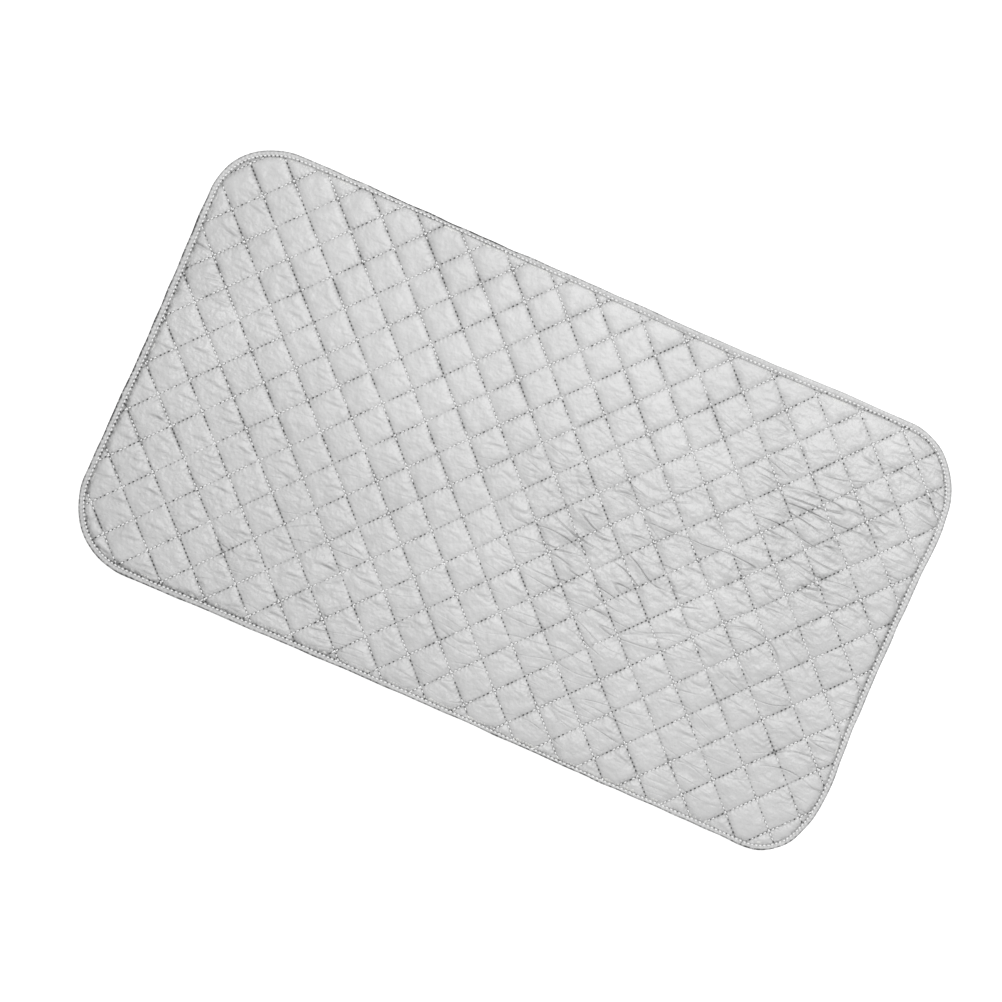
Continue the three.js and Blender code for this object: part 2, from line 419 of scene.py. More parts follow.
def rise_at(x, y):
    """The simulated rise at any place, by cubic curves through the crossings round it."""
    bases, weights = [], []
    for count in seam_counts(x, y):
        at = np.interp(count, rise_counts, np.arange(len(rise_counts)))
        base = np.clip(np.floor(at).astype(int), 1, len(rise_counts) - 3)
        t = at - base
        bases.append(base - 1)
        weights.append([(2 * t**2 - t - t**3) / 2, (2 - 5 * t**2 + 3 * t**3) / 2,
                        (t + 4 * t**2 - 3 * t**3) / 2, (t**3 - t**2) / 2])
    total = 0
    for i, falling_weight in enumerate(weights[0]):
        for j, rising_weight in enumerate(weights[1]):
            rise = cloth_rise[bases[0] + i, bases[1] + j]
            total = total + falling_weight * rising_weight * rise
    return total


def seam_pull(x):
    """How tight the two families of seams are: the falling ones at the left end of the pad, and
    the rising ones at its right end."""
    share = x / pad_length + 0.5
    return 1.1 - 0.6 * share, 0.45 + 0.55 * share


def uneven(x, y, length, breadth, seed, waves=24):
    """A smooth uneven value round 0, whose swells are about this long along x and this broad."""
    draw = np.random.default_rng(seed)
    total = 0
    for _ in range(waves):
        way = draw.uniform(0, 2 * math.pi)
        pace = draw.uniform(0.5, 1.5) * math.pi
        phase = draw.uniform(0, 2 * math.pi)
        swell = pace * (x * math.cos(way) / length + y * math.sin(way) / breadth)
        total = total + np.sin(swell + phase)
    return total * math.sqrt(2 / waves)


def face_height(x, y):
    """The top of the face cloth: lifted between the seams, and drawn into a groove along each."""
    off_falling, off_rising = off_seams(x, y)
    falling_pull, rising_pull = seam_pull(x)
    groove = falling_pull * np.exp(-(off_falling / groove_reach) ** 2)
    groove = np.maximum(groove, rising_pull * np.exp(-(off_rising / groove_reach) ** 2))
    free = np.clip(from_lip(x, y) / groove_reach, 0, 1)
    beside_binding = free * np.exp(-(from_lip(x, y) / binding_groove_reach) ** 2)
    loose = 1 + 0.2 * uneven(x, y, 0.045, 0.045, 7)
    near_long_edge = np.exp((np.abs(y) + binding_width - pad_width / 2) / 0.018)
    near_end = np.exp((np.abs(x) + binding_width - pad_length / 2) / 0.018)
    puckers = near_long_edge * uneven(x, y, 0.010, 0.080, 8)
    puckers = puckers + near_end * uneven(x, y, 0.080, 0.010, 9)
    loose = loose + 0.5 * np.clip(puckers, -1.4, 1.5)
    depth = np.maximum(groove_depth * groove * free, binding_groove_depth * beside_binding)
    return seam_top + rise_at(x, y) * loose - depth


cut = cut_layer(wadding_steps)
wadding_floor = backing_thickness + backing_groove + wadding_gap
wadding_underside = np.full(len(cut[0]), wadding_floor)
wadding_top = face_height(cut[0], cut[1]) - face_thickness - wadding_gap
wadding = layer_piece("wadding", cut, wadding_top, wadding_underside)

white_fibre, shader = new_material("white_fibre")
fluff = mottle(white_fibre, 0.0015, 6.0)
link(white_fibre, between(white_fibre, fluff, (0.74, 0.74, 0.72), (0.86, 0.86, 0.84)),
     shader.inputs["Base Color"])
bump = add_node(white_fibre, "Bump", {"Height": fluff, "Distance": 0.0008})
link(white_fibre, bump.outputs["Normal"], shader.inputs["Normal"])
shader.inputs["Roughness"].default_value = 1.0
wadding.data.materials.append(white_fibre)

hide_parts("wadding_rear", "wadding_front")
bend_at_fold(wadding)


# The face cloth
# Plain-woven cotton with a silvered, heat-proof finish. The quilting pulls it down into grooves,
# its needle holes and seam lines carry painted shade, and it is creased between the seams.
face_steps = 18
stitch_pitch = 0.0047
row_shift = 0.37  # each seam's stitches start this share of one further on than its neighbour's
hole_width = 0.00070
hole_length = 0.00100

cut = cut_layer(face_steps)
face_top = face_height(cut[0], cut[1])
face_cloth = layer_piece("face_cloth", cut, face_top, face_top - face_thickness)


# Painted shade lies on it along the binding, where it slopes down to the lip, most of all at the
# left end and along the front left.
lip_shade_base = 0.05
lip_shade_reach = 0.0024
lip_shade_places = (
    (-0.250, -0.240, 0.150, 0.36),
    (-0.430, 0.020, 0.150, 0.26),
    (0.425, -0.030, 0.120, 0.20),
    (0.320, 0.240, 0.050, 0.15),
)


def lip_shade(x, y, off_lip):
    strength = lip_shade_base + drift(x, y, lip_shade_places)
    return strength * np.exp(-(off_lip / lip_shade_reach) ** 2)


def mark(piece, name, shares):
    """Keeps one share for each place of a piece, for its finish."""
    marks = piece.data.attributes.new(name, "FLOAT", "POINT")
    marks.data.foreach_set("value", np.asarray(shares, np.float32).ravel())


def marked(material, name):
    """The shares that are kept on a piece under this name."""
    return add_node(material, "Attribute", attribute_name=name).outputs["Fac"]


# The cloth is creased all over, and crumpled round a few places.
crumpled_places = (
    (0.310, 0.080, 0.080, 0.8),
    (0.190, 0.010, 0.080, 0.5),
    (0.060, 0.000, 0.060, 0.6),
    (-0.390, 0.060, 0.080, 0.8),
    (-0.370, -0.140, 0.090, 0.8),
    (-0.180, -0.190, 0.110, 0.8),
    (0.150, -0.220, 0.110, 0.4),
    (0.400, -0.120, 0.060, 0.5),
    (0.370, 0.190, 0.050, 0.5),
)
mark(face_cloth, "crumpling", np.tile(drift(cut[0], cut[1], crumpled_places), 2))
# Painted shade along the binding's lip, kept on the cloth for its finish.
mark(face_cloth, "painted_shade", np.tile(lip_shade(cut[0], cut[1], from_lip(cut[0], cut[1])), 2))


def hill(material, value, reach):
    """1 where a socket's value is 0, and falling away smoothly on both sides of it."""
    part = reckon(material, "DIVIDE", value, reach)
    square = reckon(material, "MULTIPLY", part, part)
    return reckon(material, "EXPONENT", reckon(material, "MULTIPLY", square, -1.0))


def hole_mark(material, across, along):
    """1 in a needle hole, and 0 round it."""
    wide = reckon(material, "DIVIDE", across, hole_width)
    long = reckon(material, "DIVIDE", along, hole_length)
    far = reckon(material, "MULTIPLY_ADD", wide, wide, reckon(material, "MULTIPLY", long, long))
    sunk = reckon(material, "MULTIPLY", far, reckon(material, "MULTIPLY", far, -1.0))
    return reckon(material, "EXPONENT", sunk)


def silvered_finish(name):
    """The silvered cotton without its sewing: a soft grey sheen over a fine weave. Gives the
    material, its shader, its colour and its height in metres."""
    material, shader = new_material(name)
    # The colour varies in small patches of tone, and in broad patches of about 150 mm that are
    # painted sheen and shade.
    patches = reckon(material, "ADD", mottle(material, 0.012, 4.0), mottle(material, 0.150, 1.0))
    patches = reckon(material, "SUBTRACT", patches, 0.5)
    colour = between(material, patches, (0.525, 0.525, 0.525), (0.635, 0.635, 0.635))
    shader.inputs["Metallic"].default_value = 0.25
    shader.inputs["Roughness"].default_value = 0.5
    height = reckon(material, "MULTIPLY", plain_weave(material, 0.0005), 0.00002)
    crumpling = marked(material, "crumpling")
    for size, at_rest, crumpled in ((0.0035, 0.0003, 0.0005), (0.0100, 0.0014, 0.0020)):
        strength = reckon(material, "MULTIPLY_ADD", crumpling, crumpled, at_rest)
        height = reckon(material, "MULTIPLY_ADD", mottle(material, size, 2.0), strength, height)
    return material, shader, colour, height


def darkened(material, colour, share):
    """A colour turned towards black by this share."""
    black = add_node(material, "Mix", {"Factor": share}, data_type="RGBA")
    link(material, colour, black.inputs["A"])
    black.inputs["B"].default_value = (0.03, 0.03, 0.03, 1)
    return black.outputs["Result"]


def with_painted_shade(material, shade, grain):
    """A shade of dark with the painted shade kept on the piece added, in patches of this size."""
    painted_shade = marked(material, "painted_shade")
    patches = reckon(material, "MULTIPLY_ADD", mottle(material, grain, 1.0), 4.0, -1.0)
    patches = reckon(material, "MAXIMUM", patches, 0.2)
    shade = reckon(material, "MULTIPLY_ADD", painted_shade, patches, shade)
    return reckon(material, "MINIMUM", shade, 0.95)


def finish_cloth(material, shader, colour, height):
    bump = add_node(material, "Bump", {"Height": height, "Distance": 1.0})
    link(material, bump.outputs["Normal"], shader.inputs["Normal"])
    link(material, colour, shader.inputs["Base Color"])


silvered_cotton, shader, colour, height = silvered_finish("silvered_cotton")
seam_places = add_node(silvered_cotton, "Attribute", attribute_name="seams").outputs["Vector"]
seam_axes = add_node(silvered_cotton, "SeparateXYZ", {"Vector": seam_places}).outputs
pad_places = add_node(silvered_cotton, "TexCoord").outputs["Object"]
pad_axes = add_node(silvered_cotton, "SeparateXYZ", {"Vector": pad_places}).outputs


def on_face(operation, *values):
    """The result of one sum in the face cloth's finish."""
    return reckon(silvered_cotton, operation, *values)


# Along the seams, painted shade darkens the needle holes and a thin line over each seam, and the
# cloth is puckered between the holes. The painted shade and the valleys are deepest on the falling
# seams towards the left end and on the rising ones towards the right, following the light from
# behind, and both are stronger near the front edge. Some stretches are sewn tighter than others.
seam_line_reach = 0.0013
seam_line_darkness = 0.20
hole_depth = 0.0004
seam_pucker_reach = 0.0034
seam_pucker_height = 0.00026
seam_valley_reach = 0.0045
seam_valley_depth = 0.0006
tight_edge_reach = 0.025

tightness = on_face("MULTIPLY_ADD", mottle(silvered_cotton, 0.030, 1.0), 4.5, -1.35)
tightness = on_face("MAXIMUM", on_face("MINIMUM", tightness, 1.8), 0.40)
near_edge = on_face("EXPONENT", on_face("DIVIDE", seam_axes["Z"], -tight_edge_reach))
near_edge = on_face("MULTIPLY", near_edge, on_face("MULTIPLY_ADD", pad_axes["Y"], -1.8, 0.9))
shade = 0.0
for own, other, own_spacing, other_spacing, pull_and_shade_left, pull_and_shade_right in (
    ("X", "Y", falling_spacing, rising_spacing, 1.65, 0.62),
    ("Y", "X", rising_spacing, falling_spacing, 0.60, 0.95),
):
    seam = on_face("ROUND", seam_axes[own])
    off = on_face("MULTIPLY", on_face("SUBTRACT", seam_axes[own], seam), own_spacing)
    pitch = stitch_pitch * math.sin(falling_angle + rising_angle) / other_spacing
    row_start = on_face("FRACT", on_face("MULTIPLY", seam, row_shift))
    stitch = on_face("SUBTRACT", on_face("DIVIDE", seam_axes[other], pitch), row_start)
    turn = on_face("SUBTRACT", on_face("FRACT", stitch), 0.5)
    hole = hole_mark(silvered_cotton, off, on_face("MULTIPLY", turn, stitch_pitch))
    which = add_node(silvered_cotton, "CombineXYZ", {"X": seam, "Y": on_face("FLOOR", stitch)})
    chance = add_node(silvered_cotton, "TexWhiteNoise", {"Vector": which.outputs["Vector"]})
    chance = on_face("POWER", chance.outputs["Value"], 1.8)
    strength = on_face("MULTIPLY_ADD", pad_axes["X"], (pull_and_shade_right - pull_and_shade_left) / pad_length,
                       (pull_and_shade_right + pull_and_shade_left) / 2)
    strength = on_face("MULTIPLY_ADD", strength, tightness, near_edge)
    dark = on_face("MULTIPLY", hole, on_face("MULTIPLY_ADD", chance, 2.3, 0.28))
    seam_line = hill(silvered_cotton, off, seam_line_reach)
    line = on_face("MULTIPLY_ADD", seam_line, seam_line_darkness, dark)
    line = on_face("MINIMUM", on_face("MULTIPLY", line, strength), 1.0)
    shade = on_face("MAXIMUM", line, shade)
    pucker = on_face("COSINE", on_face("MULTIPLY", turn, 2 * math.pi))
    pucker = on_face("MULTIPLY", pucker, hill(silvered_cotton, off, seam_pucker_reach))
    pucker = on_face("MULTIPLY", pucker, tightness)
    height = on_face("MULTIPLY_ADD", pucker, seam_pucker_height, height)
    valley = on_face("MULTIPLY", hill(silvered_cotton, off, seam_valley_reach), strength)
    height = on_face("MULTIPLY_ADD", valley, -seam_valley_depth, height)
    height = on_face("MULTIPLY_ADD", hole, -hole_depth, height)

# Each diamond has a few short creases of its own, most of them along the pad.
short_creases = 4
short_crease_width = 0.0017
short_crease_length = 0.0110
flank_offset = 0.0034
flank_width = 0.0030
short_crease_depth = 0.0007
short_crease_shadow = 0.11

crumpled = marked(silvered_cotton, "crumpling")
cell_numbers = [on_face("FLOOR", seam_axes[axis]) for axis in "XY"]
in_cell = [on_face("SUBTRACT", seam_axes[axis], cell) for axis, cell in zip("XY", cell_numbers)]
for number in range(short_creases):
    cell = add_node(silvered_cotton, "CombineXYZ", {
        "X": cell_numbers[0], "Y": cell_numbers[1], "Z": float(number)}).outputs["Vector"]
    chances = add_node(silvered_cotton, "TexWhiteNoise", {"Vector": cell}).outputs
    chance = add_node(silvered_cotton, "SeparateColor", {"Color": chances["Color"]}).outputs
    at_falling = on_face("MULTIPLY_ADD", chance["Red"], 0.6, 0.2)
    at_rising = on_face("MULTIPLY_ADD", chance["Green"], 0.6, 0.2)
    u = on_face("MULTIPLY", on_face("SUBTRACT", in_cell[0], at_falling), falling_spacing)
    v = on_face("MULTIPLY", on_face("SUBTRACT", in_cell[1], at_rising), rising_spacing)
    angle = on_face("MULTIPLY_ADD", chance["Blue"], 0.7, -0.35)
    angle = on_face("MULTIPLY", angle, on_face("MULTIPLY_ADD", crumpled, -0.6, 1.0))
    from_rising = on_face("SUBTRACT", rising_angle, angle)
    from_falling = on_face("SUBTRACT", angle, falling_angle)
    along = on_face("MULTIPLY", v, on_face("SINE", from_falling))
    along = on_face("MULTIPLY_ADD", u, on_face("COSINE", from_rising), along)
    across = on_face("MULTIPLY", v, on_face("COSINE", from_falling))
    across = on_face("MULTIPLY_ADD", u, on_face("SINE", from_rising), across)
    bow = on_face("FRACT", on_face("MULTIPLY", chances["Value"], 7.0))
    bow = on_face("MULTIPLY", on_face("SUBTRACT", bow, 0.5), 30.0)
    across = on_face("MULTIPLY_ADD", on_face("MULTIPLY", along, along), bow, across)
    valley = hill(silvered_cotton, across, short_crease_width)
    flank = hill(silvered_cotton, on_face("SUBTRACT", across, flank_offset), flank_width)
    crease = on_face("MULTIPLY_ADD", flank, -0.8, valley)
    crease = on_face("MULTIPLY", crease, hill(silvered_cotton, along, short_crease_length))
    depth = on_face("POWER", chances["Value"], 2.0)
    depth = on_face("MULTIPLY", depth, on_face("MULTIPLY_ADD", crumpled, 1.5, 0.25))
    sunk = on_face("MULTIPLY", depth, -short_crease_depth)
    height = on_face("MULTIPLY_ADD", crease, sunk, height)
    shadow = on_face("MULTIPLY", crease, on_face("MULTIPLY", depth, short_crease_shadow))
    shade = on_face("MAXIMUM", shade, shadow)

# Where it is crumpled, long creases run along the pad across several diamonds. They fade towards
# its left end.
long_crease_length = 0.080
long_crease_breadth = 0.0150
long_crease_bend = 0.050
fold_width_share = 0.026
fold_depth = 0.0011
fold_rise = 0.0080
fold_shadow = 0.20

bends = mottle(silvered_cotton, 0.120, 1.0)
bent_y = on_face("MULTIPLY_ADD", bends, long_crease_bend, pad_axes["Y"])
stretched = add_node(silvered_cotton, "CombineXYZ", {
    "X": on_face("DIVIDE", pad_axes["X"], long_crease_length),
    "Y": on_face("DIVIDE", bent_y, long_crease_breadth)}).outputs["Vector"]
ripple = add_node(silvered_cotton, "TexNoise", {"Vector": stretched, "Scale": 1.0, "Detail": 0.0})
ripple = on_face("SUBTRACT", ripple.outputs["Fac"], 0.5)
fold_strength = on_face("MULTIPLY_ADD", mottle(silvered_cotton, 0.050, 1.0), 4.0, -1.4)
fold_strength = on_face("MAXIMUM", on_face("MULTIPLY", fold_strength, crumpled), 0.0)
rightwards = on_face("MINIMUM", on_face("MULTIPLY_ADD", pad_axes["X"], 2.0, 0.8), 1.0)
fold_strength = on_face("MULTIPLY", fold_strength, on_face("MAXIMUM", rightwards, 0.1))
fold = on_face("MULTIPLY", hill(silvered_cotton, ripple, fold_width_share), fold_strength)
height = on_face("MULTIPLY_ADD", fold, -fold_depth, height)
height = on_face("MULTIPLY_ADD", on_face("MULTIPLY", ripple, fold_strength), fold_rise, height)
shade = on_face("MAXIMUM", shade, on_face("MULTIPLY", fold, fold_shadow))

# Painted shade along the binding's lip, in patches.
shade = with_painted_shade(silvered_cotton, shade, 0.004)
finish_cloth(silvered_cotton, shader, darkened(silvered_cotton, colour, shade), height)
face_cloth.data.materials.append(silvered_cotton)

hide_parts("face_cloth_rear", "face_cloth_front")
bend_at_fold(face_cloth)


# The quilting thread
# White polyester in a lockstitch through all the layers: one thread on the face and one under
# the backing, along the falling seams and then along the rising ones.
thread_width = 0.0016
under_thread_width = 0.0005
thread_flatness = 0.65
stitch_rings = 6
stitch_sides = 6
stitch_share = 0.58
thread_sink = 0.0004
thread_stand = 0.0002
most_slack = 0.0006
least_slack = -0.0009

stitch_rows = np.linspace(-1, 1, stitch_rings)


def stitch_row(name, paths, normals, width):
    """Stitches as one piece. Each path holds the middle of the thread at each ring."""
    count = len(paths)
    along = np.gradient(paths, axis=1)
    along /= np.linalg.norm(along, axis=2, keepdims=True)
    across = np.cross(along, normals[:, None, :])
    across /= np.linalg.norm(across, axis=2, keepdims=True)
    upright = np.cross(across, along)
    angles = np.arange(stitch_sides) / stitch_sides * 2 * math.pi
    taper = np.sqrt(np.clip(1 - 0.6 * stitch_rows**6, 0, 1)) * width / 2
    ring = across[:, :, None, :] * np.cos(angles)[:, None]
    ring = ring + upright[:, :, None, :] * np.sin(angles)[:, None] * thread_flatness
    places = paths[:, :, None, :] + ring * taper[:, None, None]
    number = np.arange(stitch_rings * stitch_sides).reshape(stitch_rings, stitch_sides)
    following = np.roll(number, -1, axis=1)
    skin = np.stack([number[:-1], following[:-1], following[1:], number[1:]], -1).reshape(-1, 4)
    first, last = number[0], number[-1]
    caps = [first[[3, 2, 1, 0]], first[[5, 4, 3, 0]], last[[0, 1, 2, 3]], last[[0, 3, 4, 5]]]
    faces = np.concatenate([skin, caps])
    starts = np.arange(count)[:, None, None] * number.size
    piece = mesh_of(name, places.reshape(-1, 3), (faces + starts).reshape(-1, 4))
    rows = np.arange(stitch_rings) / (stitch_rings - 1)
    turns = np.arange(stitch_sides) / stitch_sides
    corner_rows = np.repeat(rows, stitch_sides)[faces]
    corner_turns = np.tile(turns, stitch_rings)[faces]
    corner_turns = np.where(np.ptp(corner_turns, axis=1, keepdims=True) > 0.5,
                            (corner_turns + 0.5) % 1 + 0.5, corner_turns)
    flat = np.stack([corner_rows, corner_turns / 1.5], -1)
    lay_out(piece, np.tile(flat.reshape(-1, 2), (count, 1)))
    return piece


def seam_stitches(name, family, height_at, side):
    """The stitches of one family of seams on the face, side 1, or under the backing, side -1."""
    own_spacing = falling_spacing if family == "falling" else rising_spacing
    other_spacing = rising_spacing if family == "falling" else falling_spacing
    pitch = stitch_pitch * math.sin(falling_angle + rising_angle) / other_spacing
    far = math.ceil(math.hypot(pad_length, pad_width) / 2 / own_spacing) + 1
    middles, seams = [], []
    for seam in range(-far, far + 1):
        start = (seam * row_shift) % 1
        row = (np.arange(-far / pitch, far / pitch) + start + (0 if side > 0 else 0.5)) * pitch
        middles.append(row)
        seams.append(np.full(len(row), float(seam)))
    middles, seams = np.concatenate(middles), np.concatenate(seams)
    counts = (seams, middles) if family == "falling" else (middles, seams)
    kept = from_lip(*crossing(*counts)) > 0
    middles, seams = middles[kept], seams[kept]
    rows = middles[:, None] + stitch_rows * pitch * stitch_share / 2
    lines = np.repeat(seams[:, None], stitch_rings, axis=1)
    x, y = crossing(lines, rows) if family == "falling" else crossing(rows, lines)
    z = height_at(x, y) + side * (thread_stand - thread_sink * stitch_rows**4)
    if side > 0:
        near_crossing = np.exp(-((middles - np.round(middles)) * other_spacing / 0.005) ** 2)
        near_edge = np.exp(-from_lip(x[:, 0], y[:, 0]) / 0.030)
        slack = uneven(x[:, 0], y[:, 0], 0.020, 0.020, 33)
        chance = np.random.default_rng(31).random(len(middles))
        share = 0.16 + 0.28 * slack + 0.5 * near_crossing + 0.35 * near_edge
        lift = np.clip((share - chance) * 0.003, least_slack, most_slack)
        z = z + lift[:, None]
    normals = np.tile((0.0, 0.0, float(side)), (len(middles), 1))
    width = thread_width if side > 0 else under_thread_width
    return stitch_row(name, np.stack([x, y, z], -1), normals, width)


def backing_groove_height(x, y):
    return np.full(np.shape(x), backing_groove)


white_thread, shader = new_material("white_thread")
shader.inputs["Base Color"].default_value = (0.95, 0.95, 0.95, 1)
shader.inputs["Roughness"].default_value = 0.45
flat_places = add_node(white_thread, "UVMap", uv_map="OFBake")
flat_axes = add_node(white_thread, "SeparateXYZ", {"Vector": flat_places.outputs["UV"]})
lay = reckon(white_thread, "MULTIPLY", flat_axes.outputs["X"], 4.0)
lay = reckon(white_thread, "MULTIPLY_ADD", flat_axes.outputs["Y"], 3.0, lay)
lay = reckon(white_thread, "SINE", reckon(white_thread, "MULTIPLY", lay, 2 * math.pi))
bump = add_node(white_thread, "Bump", {"Height": lay, "Distance": 0.00006})
link(white_thread, bump.outputs["Normal"], shader.inputs["Normal"])

for family in ("falling", "rising"):
    for name, height_at, side in (
        ("face_thread_" + family, face_height, 1),
        ("bobbin_thread_" + family, backing_groove_height, -1),
    ):
        thread = seam_stitches(name, family, height_at, side)
        thread.data.materials.append(white_thread)
        bend_at_fold(thread)


# The binding
# A strip of the face cloth, folded in four along its length so that both raw edges are turned
# in. It wraps the raw edge of the layers, and one row of stitches holds it down on both sides.
binding_thickness = 0.0003
layer_pitch = 0.00038
binding_top = 0.0040
lower_leg = 0.00016
turned_in = 0.0026
nose_depth = 0.0019
binding_step = 0.0016
binding_stitch_inset = 0.0054
upper_side_from = 0.0022
upper_side_blend = 0.0010
stitch_dip_reach = 0.0011
upper_dip = 0.00035
lower_dip = 0.00010
upper_unevenness = 0.00008
upper_settling = 0.00025
outer_fold_depth = 0.0030
outer_fold_inset = 0.00025
outer_fold_unevenness = 0.00020


def edge_walk(step):
    """Places along the cut edge, about one step apart and anticlockwise, and the ways out."""
    places, ways = [], []
    fine = 0.0002
    for side in outline_sides:
        out = np.array((math.cos(side["turn"]), math.sin(side["turn"])))
        on = np.array((-out[1], out[0]))
        angles = np.linspace(-math.pi / 2, 0, int(side["radius"] * math.pi / 2 / fine))[:-1]
        corner = out * (side["reach"] - side["radius"]) + on * side["start"]
        spokes = np.cos(angles)[:, None] * out + np.sin(angles)[:, None] * on
        places.append(corner + spokes * side["radius"])
        ways.append(spokes)
        straight = np.linspace(side["start"], side["end"],
                               int((side["end"] - side["start"]) / fine))[:-1]
        reach = side["reach"] - drawn_in(side, straight)
        places.append(reach[:, None] * out + straight[:, None] * on)
        ways.append(np.tile(out, (len(straight), 1)))
    places, ways = np.concatenate(places), np.concatenate(ways)
    places = places - ways * drift(places[:, 0], places[:, 1], edge_drifts)[:, None]
    lengths = np.linalg.norm(np.roll(places, -1, axis=0) - places, axis=1)
    travelled = np.concatenate([[0], np.cumsum(lengths)])
    count = round(travelled[-1] / step)
    wanted = np.arange(count) / count * travelled[-1]
    places, ways = np.vstack([places, places[:1]]), np.vstack([ways, ways[:1]])
    at = [np.interp(wanted, travelled, places[:, i]) for i in (0, 1)]
    way = [np.interp(wanted, travelled, ways[:, i]) for i in (0, 1)]
    return np.stack(at, 1), np.stack(way, 1), wanted, travelled[-1]


def half_turn(inset, height, radius, outward, points):
    """A round fold about a centre, seen on the cut across the binding, from below upwards."""
    angles = np.linspace(-math.pi / 2, math.pi / 2, points)
    return np.stack([inset + outward * radius[0] * np.cos(angles),
                     height + radius[1] * np.sin(angles)], 1)


def leg(from_inset, to_inset, height, points):
    insets = np.linspace(from_inset, to_inset, points)
    return np.stack([insets, np.full(points, height)], 1)


def widened_share(inset):
    """How much of the strip's extra width has built up this far in from the edge."""
    return np.clip((inset - nose_depth) / (binding_width - nose_depth), 0, 1)


lip = binding_width - layer_pitch / 2
upper_leg = binding_top - layer_pitch
nose = half_turn(nose_depth, (lower_leg + binding_top) / 2,
                 (nose_depth - binding_thickness / 2, (binding_top - lower_leg) / 2), -1, 9)
strip_line = np.concatenate([
    leg(turned_in, lip, lower_leg + layer_pitch, 5)[:-1],
    half_turn(lip, lower_leg + layer_pitch / 2, (layer_pitch / 2,) * 2, 1, 4)[::-1],
    leg(lip, nose_depth, lower_leg, 6)[1:-1],
    nose,
    leg(nose_depth, lip, binding_top, 8)[1:-1],
    half_turn(lip, binding_top - layer_pitch / 2, (layer_pitch / 2,) * 2, 1, 5)[::-1],
    leg(lip, turned_in, upper_leg, 6)[1:],
])
strip_ways = np.gradient(strip_line, axis=0)
strip_ways /= np.linalg.norm(strip_ways, axis=1, keepdims=True)
strip_outs = np.stack([-strip_ways[:, 1], strip_ways[:, 0]], 1) * binding_thickness / 2
strip_ring = np.concatenate([strip_line + strip_outs, (strip_line - strip_outs)[::-1]])

rim_places, rim_ways, rim_lengths, rim_around = edge_walk(binding_step)
insets, heights = strip_ring[:, 0], strip_ring[:, 1]
upper = np.clip((heights - upper_side_from) / upper_side_blend, 0, 1)
near_stitches = np.exp(-((insets - binding_stitch_inset) / stitch_dip_reach) ** 2)
stitch_count = round(rim_around / stitch_pitch)
stitch_turn = rim_lengths / rim_around * stitch_count * 2 * math.pi
tug = 0.7 + 0.3 * (0.5 + 0.5 * np.cos(stitch_turn))[:, None]
swell = uneven(rim_lengths, rim_lengths, 0.020, 0.034, 21)[:, None]
widening = drift(rim_places[:, 0], rim_places[:, 1], binding_drifts)
sag = upper_dip * near_stitches * upper * tug + upper_unevenness * upper * swell
settling = upper_settling * upper * np.clip((insets - 0.0025) / 0.003, 0, 1)
ring_heights = heights - sag - settling + lower_dip * near_stitches * (1 - upper)
outer = np.clip(1 - insets / outer_fold_depth, 0, 1)
ring_insets = insets + outer * (outer_fold_inset + outer_fold_unevenness * swell)
ring_insets = ring_insets + upper * widened_share(insets) * widening[:, None]
ring_places = rim_places[:, None, :] - rim_ways[:, None, :] * ring_insets[:, :, None]
places = np.concatenate([ring_places, ring_heights[:, :, None]], axis=2)

number = np.arange(places.shape[0] * places.shape[1]).reshape(places.shape[:2])
onward, beside = np.roll(number, -1, axis=0), np.roll(number, -1, axis=1)
faces = np.stack([number, onward, np.roll(onward, -1, axis=1), beside], -1).reshape(-1, 4)
binding = mesh_of("binding", places.reshape(-1, 3), faces)
sewing = binding.data.attributes.new("sewing", "FLOAT_VECTOR", "POINT")
sewing_values = np.empty((*places.shape[:2], 3), np.float32)
sewing_values[..., 0] = (stitch_turn / (2 * math.pi))[:, None]
sewing_values[..., 1] = insets - binding_stitch_inset
sewing_values[..., 2] = np.where(heights > (binding_top + lower_leg) / 2, 1, 0)
sewing.data.foreach_set("vector", sewing_values.ravel())

# In the middle of the rear edge the stitches have sunk into the binding. The painted shade in its
# needle holes is stronger where the painted shade along the lip is, and weaker there.
most_sunk = 0.0005
sunk_places = ((0.070, 0.240, 0.110, most_sunk),)
hole_shade = 0.5 + 2 * lip_shade(rim_places[:, 0], rim_places[:, 1], 0)
hole_shade = hole_shade - 0.4 / most_sunk * drift(rim_places[:, 0], rim_places[:, 1], sunk_places)
mark(binding, "hole_shading", np.repeat(np.clip(hole_shade, 0.1, 1.2), len(insets)))

# Painted shade lies in a thin line along the outer fold, most of all at the left end.
outer_fold_shade_inset = 0.0011
outer_fold_shade_reach = 0.0010
outer_fold_shade_places = (
    (-0.180, 0.240, 0.055, 0.80),
    (-0.424, 0.125, 0.020, 0.90),
    (-0.424, -0.040, 0.075, 1.10),
    (-0.330, -0.237, 0.060, 0.50),
    (0.385, -0.232, 0.022, 0.60),
    (-0.110, -0.240, 0.045, 0.45),
    (0.150, -0.240, 0.070, 0.40),
    (0.250, 0.240, 0.110, -0.30),
)
outer_fold_shade = 0.45 + drift(rim_places[:, 0], rim_places[:, 1], outer_fold_shade_places)
outer_fold_shade = outer_fold_shade[:, None] * np.exp(-((insets - outer_fold_shade_inset) / outer_fold_shade_reach) ** 2)
# Painted shade beside the lip, as on the face cloth.
lip_line = lip_shade(rim_places[:, :1], rim_places[:, 1:], insets - binding_width)
mark(binding, "painted_shade", upper * (outer_fold_shade + lip_line))

binding_cotton, shader, colour, height = silvered_finish("binding_cotton")
sewing_places = add_node(binding_cotton, "Attribute", attribute_name="sewing").outputs["Vector"]
sewing_axes = add_node(binding_cotton, "SeparateXYZ", {"Vector": sewing_places}).outputs


def on_binding(operation, *values):
    """The result of one sum in the binding's finish."""
    return reckon(binding_cotton, operation, *values)


# Painted shadow in the needle holes, set a little in from each stitch on the side towards the pad,
# and a thin line of painted shade along the row of stitches.
hole_offset = 0.0008
binding_line_reach = 0.0012
binding_line_darkness = 0.15
binding_pucker_reach = 0.0030
binding_pucker_height = 0.00025

